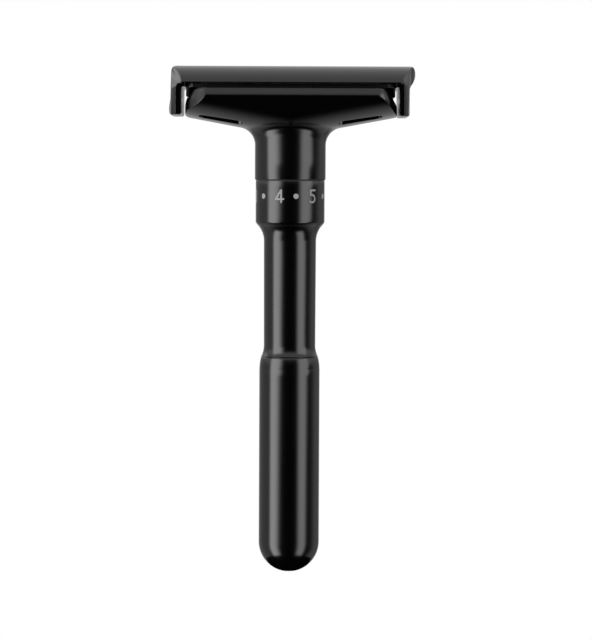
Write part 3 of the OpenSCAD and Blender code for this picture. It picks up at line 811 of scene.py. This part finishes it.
def softbox(azimuths, elevations, soft_azimuths, soft_elevation, strength, slanted=None):
    """A soft-edged panel. slanted is the azimuth used for its far edge."""
    across = window(azimuth, *azimuths, *soft_azimuths, slanted)
    upright = window(elevation, *elevations, soft_elevation, soft_elevation)
    return multiply(multiply(across, upright), strength)


# Angles in degrees: azimuth is 0 at the front (-Y) and positive towards +X
ray = add_node(sky, "TexCoord").outputs["Generated"]
X, Y, Z = add_node(sky, "SeparateXYZ", {0: ray}).outputs
azimuth = in_degrees(math_node("ARCTAN2", X, multiply(Y, -1)))
elevation = in_degrees(math_node("ARCSINE", Z))
off_front = math_node("ABSOLUTE", azimuth)
right_side = rise(azimuth, start=-1, end=1)

# backdrop and its wings near the horizon
left_wing = multiply(
    rise(off_front, start=76, end=82),
    add(add(ramp(off_front, start=100, end=122, low=0.5, high=0.42),
            ramp(off_front, start=122, end=140, low=0.0, high=-0.05)),
        multiply(rise(off_front, start=150, end=168), 0.25)))
right_wing = add(
    multiply(rise(off_front, start=72, end=78),
             ramp(off_front, start=84, end=114, low=0.02, high=0.55)),
    add(ramp(off_front, start=115, end=145, low=0.0, high=-0.31),
        multiply(rise(off_front, start=148, end=170), 0.34)))
level = blend(right_side, left_wing, right_wing)

# a little higher up, the same backdrop on both sides
upper_backdrop = multiply(rise(off_front, start=74, end=80),
                          ramp(off_front, start=96, end=116, low=1.1, high=0.72))
level = blend(rise(elevation, start=4, end=11), level, upper_backdrop)

# large overhead light, stronger towards the front
OVERHEAD, OVERHEAD_FRONT = 0.63, 0.47       # strength everywhere, extra at the front
overhead = add(OVERHEAD, multiply(
    multiply(invert(rise(off_front, start=80, end=100)),
             invert(rise(elevation, start=46, end=56))), OVERHEAD_FRONT))
level = blend(rise(elevation, start=18, end=30), level, overhead)

# white floor below, towards the back; its angle runs from the back (0) to straight down (90)
FLOOR_LIGHT = 0.62
below = in_degrees(math_node("ARCTAN2", multiply(Z, -1), Y))
floor_glow = multiply(invert(rise(below, start=66, end=103)), FLOOR_LIGHT)
level = blend(invert(rise(elevation, start=-42, end=-30)), level, floor_glow)

# Softboxes at the front left, front right and high at the back left. The far edges of the
# first two slant with elevation, between these limits.
SLANT_LOW, SLANT_HIGH = -5.5, 2
slant = math_node("MAXIMUM", math_node("MINIMUM", elevation, SLANT_HIGH), SLANT_LOW)
LEFT_SLANT, RIGHT_SLANT = -1.45, -1.8       # degrees of azimuth per degree of elevation
total = add(level, softbox(
    azimuths=(-77.5, -37.5), elevations=(-46, 27), soft_azimuths=(5, 13), soft_elevation=4,
    strength=5.4, slanted=math_node("MULTIPLY_ADD", slant, LEFT_SLANT, azimuth)))
total = add(total, softbox(
    azimuths=(35, 74.5), elevations=(-46, 27), soft_azimuths=(9, 7), soft_elevation=4,
    strength=3.3, slanted=math_node("MULTIPLY_ADD", slant, RIGHT_SLANT, azimuth)))
total = add(total, softbox(
    azimuths=(-146, -114), elevations=(15, 42), soft_azimuths=(6, 6), soft_elevation=5,
    strength=0.9))
FILL = 0.0003           # faint light from everywhere
total = add(total, FILL)

# the camera itself sees plain white
WHITE = (1, 1, 1, 1)
camera_ray = add_node(sky, "LightPath").outputs["Is Camera Ray"]
studio = add_node(sky, "Background", {"Color": WHITE, "Strength": total})
plain = add_node(sky, "Background", {"Color": WHITE, "Strength": 1.0})
chosen = add_node(sky, "MixShader", {0: camera_ray, 1: studio.outputs[0], 2: plain.outputs[0]})
add_node(sky, "OutputWorld", {0: chosen.outputs[0]})


# ------------------------------------------------------------------ floor and card, in metres
def build_floor(half=3, z=-0.0002):
    """Plain white floor, seen by the camera only."""
    corners = [(-half, -half, z), (half, -half, z), (half, half, z), (-half, half, z)]
    floor = new_object("floor", plain_mesh("floor", corners, [(0, 1, 2, 3)]))
    pale = bpy.data.materials.new("pale_floor")
    tree = empty_tree(pale)
    glow = add_node(tree, "Emission")
    add_node(tree, "OutputMaterial", {0: glow.outputs[0]})
    floor.data.materials.append(pale)
    floor.visible_glossy = False
    floor.visible_diffuse = False
    floor.visible_shadow = False
    floor.visible_transmission = False


def build_card(radius=0.011, z=-0.0022, segments=24):
    """Small dark card under the grip, hidden from the camera; it keeps the grip's end dark."""
    rim = [(x, y, z) for x, y in circle(radius, segments)]
    card = new_object("card", plain_mesh("card", rim, [tuple(range(segments))]))
    dark = bpy.data.materials.new("dark_card")
    dark.use_nodes = True
    inputs = dark.node_tree.nodes["Principled BSDF"].inputs
    inputs["Base Color"].default_value = (0.002, 0.002, 0.002, 1)
    inputs["Specular IOR Level"].default_value = 0.0
    inputs["Roughness"].default_value = 1.0
    card.data.materials.append(dark)
    card.visible_camera = False
    card.visible_shadow = False


build_floor()
build_card()

# ------------------------------------------------------------------ camera, in metres
scene.view_settings.view_transform = "Standard"
scene.view_settings.look = "None"

CAMERA_DISTANCE = 0.625
CAMERA_Z, TARGET_Z = 0.0816, 0.05402
VIEW_WIDTH = 0.13665526     # width of the view at CAMERA_DISTANCE
CAMERA_ROLL = 0.24          # degrees

camera = bpy.data.cameras.new("camera")
camera_object = new_object("camera", camera)
camera.sensor_width = 36
camera.lens = camera.sensor_width * CAMERA_DISTANCE / VIEW_WIDTH
camera.clip_start = 0.01
camera.shift_x = 0.009937402
camera.shift_y = -0.0007042254
camera_object.location = (0, -CAMERA_DISTANCE, CAMERA_Z)
aim = Vector((0, 0, TARGET_Z)) - camera_object.location
roll = Matrix.Rotation(math.radians(CAMERA_ROLL), 3, "Z")
camera_object.rotation_euler = (aim.to_track_quat("-Z", "Y").to_matrix() @ roll).to_euler()
scene.camera = camera_object
